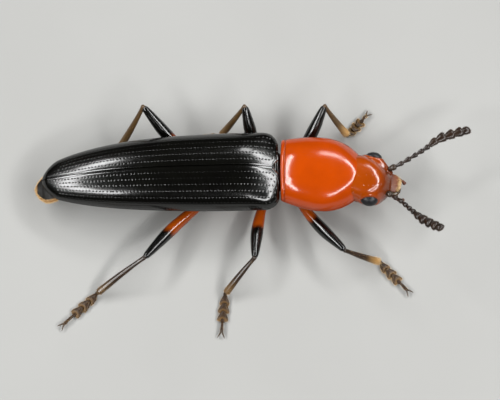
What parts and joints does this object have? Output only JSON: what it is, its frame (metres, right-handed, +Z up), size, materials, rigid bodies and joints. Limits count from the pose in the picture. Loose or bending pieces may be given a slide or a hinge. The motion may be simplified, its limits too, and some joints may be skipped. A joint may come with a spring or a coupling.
{
  "type": "clover stem borer",
  "caption": "Slender red and black lizard beetle, a still life-size model in a walking stance, with domed wing cases, jointed legs with clawed feet and clubbed feelers.",
  "frame": {"origin": "on the ground under the middle of the insect's box", "axes": "+X forward, towards the head; +Y to the insect's left; +Z up"},
  "size_m": [0.0102, 0.0054, 0.0018],
  "materials": {
    "red_cuticle": "gloss",
    "black_cuticle": "gloss",
    "brown_cuticle": "satin",
    "amber_cuticle": "gloss",
    "eye_cuticle": "satin"
  },
  "bodies": {
    "root": {"abdomen": "black_cuticle", "antenna_left_club": "brown_cuticle", "antenna_left_scape": "brown_cuticle", "antenna_left_stalk": "brown_cuticle", "antenna_right_club": "brown_cuticle", "antenna_right_scape": "brown_cuticle", "antenna_right_stalk": "brown_cuticle", "chest": "red_cuticle", "elytron_left": "black_cuticle", "elytron_right": "black_cuticle", "eye_left": "eye_cuticle", "eye_right": "eye_cuticle", "head": "red_cuticle", "labrum": "amber_cuticle", "leg_front_left_claws": "brown_cuticle", "leg_front_left_coxa": "red_cuticle", "leg_front_left_femur": "black_cuticle", "leg_front_left_tarsus": "brown_cuticle", "leg_front_left_tibia": "brown_cuticle", "leg_front_right_claws": "brown_cuticle", "leg_front_right_coxa": "red_cuticle", "leg_front_right_femur": "black_cuticle", "leg_front_right_tarsus": "brown_cuticle", "leg_front_right_tibia": "brown_cuticle", "leg_hind_left_claws": "brown_cuticle", "leg_hind_left_coxa": "red_cuticle", "leg_hind_left_femur": "black_cuticle", "leg_hind_left_tarsus": "brown_cuticle", "leg_hind_left_tibia": "brown_cuticle", "leg_hind_right_claws": "brown_cuticle", "leg_hind_right_coxa": "red_cuticle", "leg_hind_right_femur": "black_cuticle", "leg_hind_right_tarsus": "brown_cuticle", "leg_hind_right_tibia": "brown_cuticle", "leg_middle_left_claws": "brown_cuticle", "leg_middle_left_coxa": "red_cuticle", "leg_middle_left_femur": "black_cuticle", "leg_middle_left_tarsus": "brown_cuticle", "leg_middle_left_tibia": "brown_cuticle", "leg_middle_right_claws": "brown_cuticle", "leg_middle_right_coxa": "red_cuticle", "leg_middle_right_femur": "black_cuticle", "leg_middle_right_tarsus": "brown_cuticle", "leg_middle_right_tibia": "brown_cuticle", "mandible_left": "brown_cuticle", "mandible_right": "brown_cuticle", "palp_left": "amber_cuticle", "palp_right": "amber_cuticle", "pronotum": "red_cuticle", "scutellum": "black_cuticle"}
  },
  "joints": []
}
